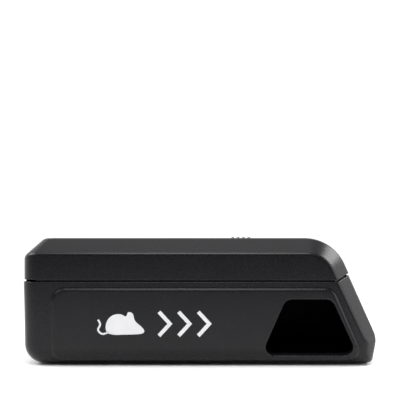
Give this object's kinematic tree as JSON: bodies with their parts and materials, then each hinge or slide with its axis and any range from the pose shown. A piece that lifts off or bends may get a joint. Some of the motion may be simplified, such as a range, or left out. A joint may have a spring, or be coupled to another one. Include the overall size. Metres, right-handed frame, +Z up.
{
  "type": "snap mouse trap",
  "caption": "Covered snap mouse trap: a long chamfered case with a hinged latched lid, a side entry hole, and a spring kill bar with treadle and bait cup inside.",
  "frame": {"origin": "on the floor, under the middle of the case", "axes": "+X towards the slanted nose, -Y towards the side with the entry hole, +Z up"},
  "size_m": [0.21, 0.084, 0.0761],
  "materials": {
    "case_plastic": "fine moulded texture, satin",
    "inner_plastic": "plain moulded",
    "striker_plastic": "plain moulded",
    "pedal_plastic": "plain moulded",
    "cup_plastic": "smooth",
    "rubber": "matte",
    "pin_steel": "ground",
    "wire_steel": "drawn wire, zinc plated",
    "spring_steel": "spring wire",
    "screw_steel": "zinc plated"
  },
  "bodies": {
    "case": {"base_shell": "case_plastic", "rubber_feet": "rubber", "hinge_pin": "pin_steel", "entry_baffle": "inner_plastic", "baffle_screws": "screw_steel", "trap_chassis": "inner_plastic", "chassis_screws": "screw_steel", "stop_pads": "rubber", "striker_axle": "pin_steel", "axle_clips": "pin_steel", "torsion_spring_near": "spring_steel", "torsion_spring_far": "spring_steel", "pedal_pin": "pin_steel"},
    "lid": {"lid_shell": "case_plastic", "latch_retainer": "inner_plastic", "latch_screws": "screw_steel", "latch_spring": "spring_steel"},
    "latch": {"latch_slider": "case_plastic"},
    "striker": {"striker_yoke": "striker_plastic", "kill_bar": "wire_steel"},
    "pedal": {"trip_pedal": "pedal_plastic"},
    "cup": {"bait_cup": "cup_plastic"}
  },
  "joints": [
    {"name": "lid_hinge", "type": "hinge", "parent": "case", "child": "lid", "pos_m": [-0.1032, 0, 0.053], "axis": [0, -1, 0], "range_deg": [0, 100]},
    {"name": "latch_slide", "type": "slide", "parent": "lid", "child": "latch", "axis": [-1, 0, 0], "range_m": [0, 0.0036], "stiffness_N_per_m": 300, "springref_m": -0.002, "deforming": ["latch_spring"]},
    {"name": "striker_pivot", "type": "hinge", "parent": "case", "child": "striker", "pos_m": [-0.045, 0, 0.013], "axis": [0, -1, 0], "range_deg": [0, 100], "stiffness_Nm_per_rad": 0.15, "springref_deg": -114.59, "deforming": ["torsion_spring_near", "torsion_spring_far"]},
    {"name": "pedal_pivot", "type": "hinge", "parent": "case", "child": "pedal", "pos_m": [-0.0287, 0, 0.0132], "axis": [0, -1, 0], "range_deg": [0, 9]},
    {"name": "bait_cup_lift", "type": "slide", "parent": "pedal", "child": "cup", "axis": [0, 0, 1], "range_m": [0, 0.015]}
  ]
}
